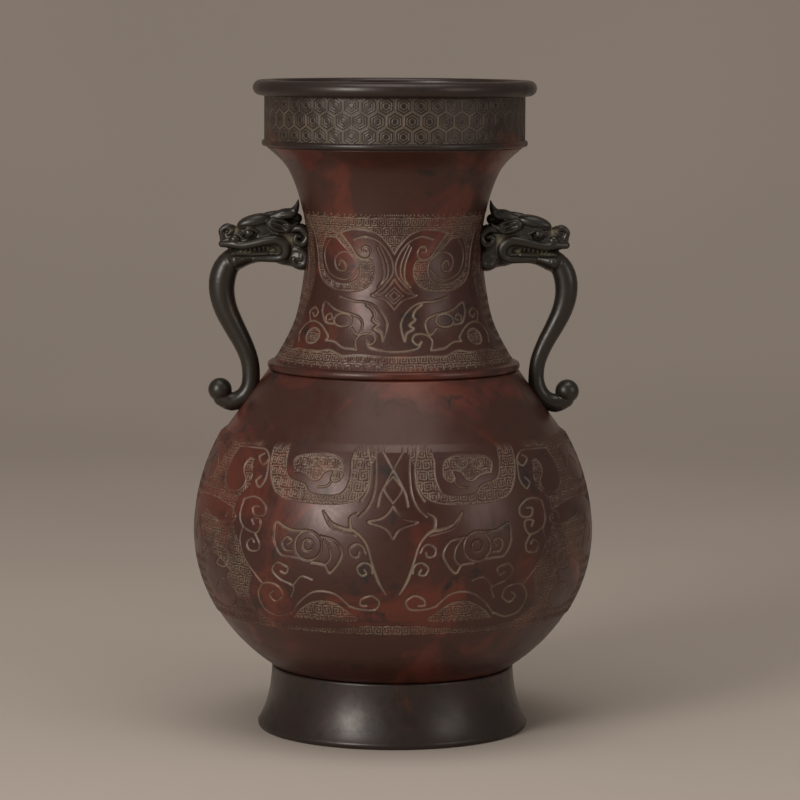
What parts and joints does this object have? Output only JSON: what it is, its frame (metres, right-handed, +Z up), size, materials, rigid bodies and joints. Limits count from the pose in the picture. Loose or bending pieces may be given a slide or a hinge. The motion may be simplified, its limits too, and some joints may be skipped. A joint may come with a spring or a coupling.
{
  "type": "hu wine jar",
  "caption": "Cast bronze pear-shaped jar on a flared foot, with a collared mouth and beast-head scroll handles, for holding wine or flowers.",
  "frame": {"origin": "centre of the circle on which the foot rests", "axes": "+Z up along the jar's axis, +X and -X through the two handles, the pictured face towards -Y"},
  "size_m": [0.2464, 0.2464, 0.4],
  "materials": {
    "bronze_body": "red-brown patinated bronze, waxed",
    "bronze_dark": "dark brown patinated bronze, waxed",
    "bronze_handle": "black-brown patinated bronze, waxed",
    "solder": "dulled soft solder"
  },
  "bodies": {
    "root": {"foot_ring": "bronze_dark", "base_plate": "bronze_dark", "belly_shell": "bronze_body", "neck_shell": "bronze_body", "mouth_collar": "bronze_dark", "solder_base_plate": "solder", "solder_foot_joint": "solder", "solder_neck_joint": "solder", "handle_left": "bronze_handle", "handle_right": "bronze_handle", "rivet_upper_left": "bronze_dark", "rivet_lower_left": "bronze_dark", "rivet_upper_right": "bronze_dark", "rivet_lower_right": "bronze_dark"}
  },
  "joints": []
}
